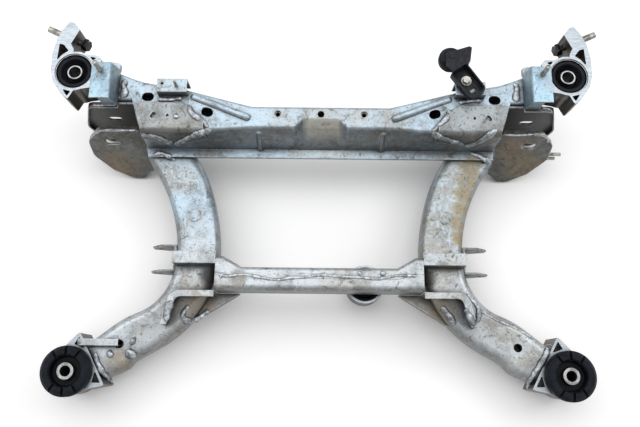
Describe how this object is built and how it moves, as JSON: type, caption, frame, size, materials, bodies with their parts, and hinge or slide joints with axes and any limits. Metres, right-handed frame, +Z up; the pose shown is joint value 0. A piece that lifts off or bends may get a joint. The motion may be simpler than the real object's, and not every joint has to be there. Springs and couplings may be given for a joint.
{
  "type": "rear suspension subframe",
  "caption": "Welded aluminium rear suspension subframe with two crossbeams, bent side rails, arm brackets and rubber body bushes.",
  "frame": {"origin": "bottom centre of the whole subframe, on the plane it stands on", "axes": "+X to the right along the crossbeams, +Y from the narrow to the wide crossbeam, +Z up through the body bushes"},
  "size_m": [1.2072, 0.789, 0.2787],
  "materials": {
    "pressed_aluminium": "dull, weathered",
    "fastener_steel": "bright zinc",
    "sawn_aluminium": "sawn and bright on top",
    "rubber": "matt",
    "bush_steel": "bright zinc",
    "hanger_paint": "black dip paint"
  },
  "bodies": {
    "root": {"arm_bracket_front_left": "pressed_aluminium", "arm_bracket_front_right": "pressed_aluminium", "arm_bracket_rear_left": "pressed_aluminium", "arm_bracket_rear_right": "pressed_aluminium", "arm_bracket_web_left": "pressed_aluminium", "arm_bracket_web_right": "pressed_aluminium", "box_bracket_left": "pressed_aluminium", "box_bracket_right": "pressed_aluminium", "box_stud_left": "fastener_steel", "box_stud_right": "fastener_steel", "bracket_pins": "fastener_steel", "cap_plate_left": "pressed_aluminium", "cap_plate_right": "pressed_aluminium", "crossbeam_nuts": "fastener_steel", "differential_bush_ring": "sawn_aluminium", "differential_bush_rubber": "rubber", "differential_bush_sleeve": "bush_steel", "ear_bolt_left": "fastener_steel", "ear_bolt_right": "fastener_steel", "exhaust_hanger_bolt": "fastener_steel", "exhaust_hanger_bracket": "hanger_paint", "exhaust_hanger_pin": "fastener_steel", "exhaust_hanger_rubber": "rubber", "gusset_left": "pressed_aluminium", "gusset_right": "pressed_aluminium", "link_bracket_left": "pressed_aluminium", "link_bracket_right": "pressed_aluminium", "lower_bush_can_left": "bush_steel", "lower_bush_can_right": "bush_steel", "lower_bush_housing_left": "sawn_aluminium", "lower_bush_housing_right": "sawn_aluminium", "lower_bush_rubber_left": "rubber", "lower_bush_rubber_right": "rubber", "lower_bush_sleeve_left": "bush_steel", "lower_bush_sleeve_right": "bush_steel", "narrow_crossbeam_front": "pressed_aluminium", "narrow_crossbeam_rear": "pressed_aluminium", "perch_left": "pressed_aluminium", "perch_right": "pressed_aluminium", "perch_stud": "fastener_steel", "pocket_front_left": "pressed_aluminium", "pocket_front_right": "pressed_aluminium", "pocket_rear_left": "pressed_aluminium", "pocket_rear_right": "pressed_aluminium", "rear_tab_left": "pressed_aluminium", "rear_tab_right": "pressed_aluminium", "sensor_bracket": "pressed_aluminium", "side_rail_left": "pressed_aluminium", "side_rail_right": "pressed_aluminium", "upper_bush_can_left": "bush_steel", "upper_bush_can_right": "bush_steel", "upper_bush_housing_left": "sawn_aluminium", "upper_bush_housing_right": "sawn_aluminium", "upper_bush_rubber_left": "rubber", "upper_bush_rubber_right": "rubber", "upper_bush_sleeve_left": "bush_steel", "upper_bush_sleeve_right": "bush_steel", "wide_crossbeam_lower": "pressed_aluminium", "wide_crossbeam_upper": "pressed_aluminium"}
  },
  "joints": []
}
